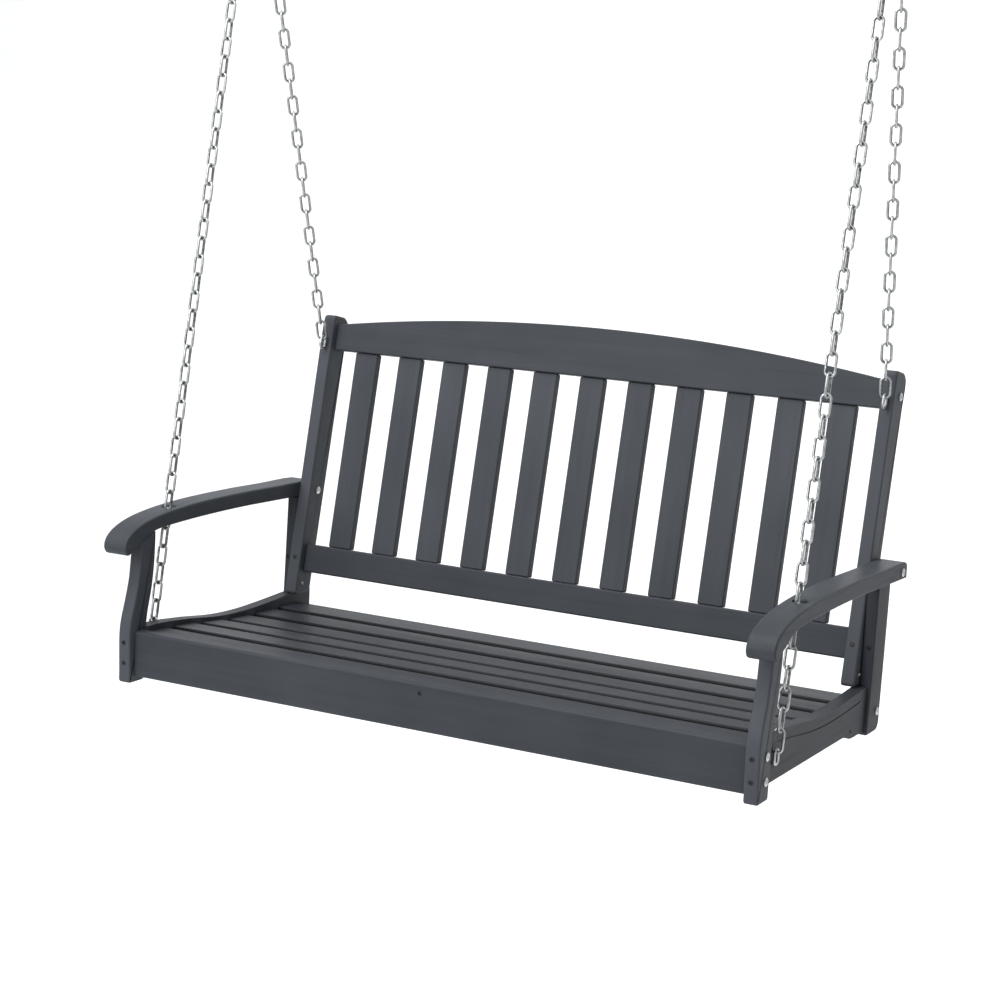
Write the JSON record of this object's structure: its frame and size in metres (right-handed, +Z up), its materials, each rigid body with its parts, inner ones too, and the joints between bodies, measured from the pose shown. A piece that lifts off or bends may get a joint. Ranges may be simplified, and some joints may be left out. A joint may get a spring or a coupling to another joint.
{
  "type": "porch swing",
  "caption": "Slatted wooden bench seat with arms and an arched back, hung by four chains from two ceiling hangers and free to swing forwards and backwards.",
  "frame": {"origin": "on the floor-side plane through the undersides of the legs, under the middle of the bounding box", "axes": "+Z up, +Y from the front rail towards the back, +X along the bench, towards the right as seen from the front"},
  "size_m": [1.26, 0.6278, 1.52],
  "materials": {
    "painted_wood": "satin slate grey paint over straight-grained wood",
    "zinc_chain": "bright zinc plating",
    "bolt_steel": "polished dome heads",
    "hanger_steel": "zinc plated"
  },
  "bodies": {
    "hangers": {"hanger_eye_left": "hanger_steel", "hanger_eye_right": "hanger_steel", "ceiling_plate_left": "hanger_steel", "ceiling_plate_right": "hanger_steel"},
    "swing": {"front_rail": "painted_wood", "top_rail": "painted_wood", "bottom_rail": "painted_wood", "centre_seat_support": "painted_wood", "rear_seat_rail": "painted_wood", "front_leg_left": "painted_wood", "front_leg_right": "painted_wood", "rear_leg_left": "painted_wood", "rear_leg_right": "painted_wood", "side_rail_left": "painted_wood", "side_rail_right": "painted_wood", "back_post_left": "painted_wood", "back_post_right": "painted_wood", "arm_left": "painted_wood", "arm_right": "painted_wood", "back_slat_01": "painted_wood", "back_slat_02": "painted_wood", "back_slat_03": "painted_wood", "back_slat_04": "painted_wood", "back_slat_05": "painted_wood", "back_slat_06": "painted_wood", "back_slat_07": "painted_wood", "back_slat_08": "painted_wood", "back_slat_09": "painted_wood", "back_slat_10": "painted_wood", "back_slat_11": "painted_wood", "seat_slat_1": "painted_wood", "seat_slat_2": "painted_wood", "seat_slat_3": "painted_wood", "seat_slat_4": "painted_wood", "seat_slat_5": "painted_wood", "seat_slat_6": "painted_wood", "front_eye_left": "zinc_chain", "front_eye_right": "zinc_chain", "rear_eye_left": "zinc_chain", "rear_eye_right": "zinc_chain", "front_chain_left": "zinc_chain", "front_chain_right": "zinc_chain", "rear_chain_left": "zinc_chain", "rear_chain_right": "zinc_chain", "hang_ring_left": "zinc_chain", "hang_ring_right": "zinc_chain", "bolt_front_leg_upper_left": "bolt_steel", "bolt_front_leg_upper_right": "bolt_steel", "bolt_front_leg_lower_left": "bolt_steel", "bolt_front_leg_lower_right": "bolt_steel", "bolt_rear_leg_left": "bolt_steel", "bolt_rear_leg_right": "bolt_steel", "bolt_arm_left": "bolt_steel", "bolt_arm_right": "bolt_steel", "bolt_top_rail_left": "bolt_steel", "bolt_top_rail_right": "bolt_steel", "pin_post_foot_left": "bolt_steel", "pin_post_foot_right": "bolt_steel"}
  },
  "joints": [
    {"name": "swing_pivot", "type": "hinge", "parent": "hangers", "child": "swing", "pos_m": [0, 0.0445, 1.469], "axis": [1, 0, 0], "range_deg": [-25, 25]}
  ]
}
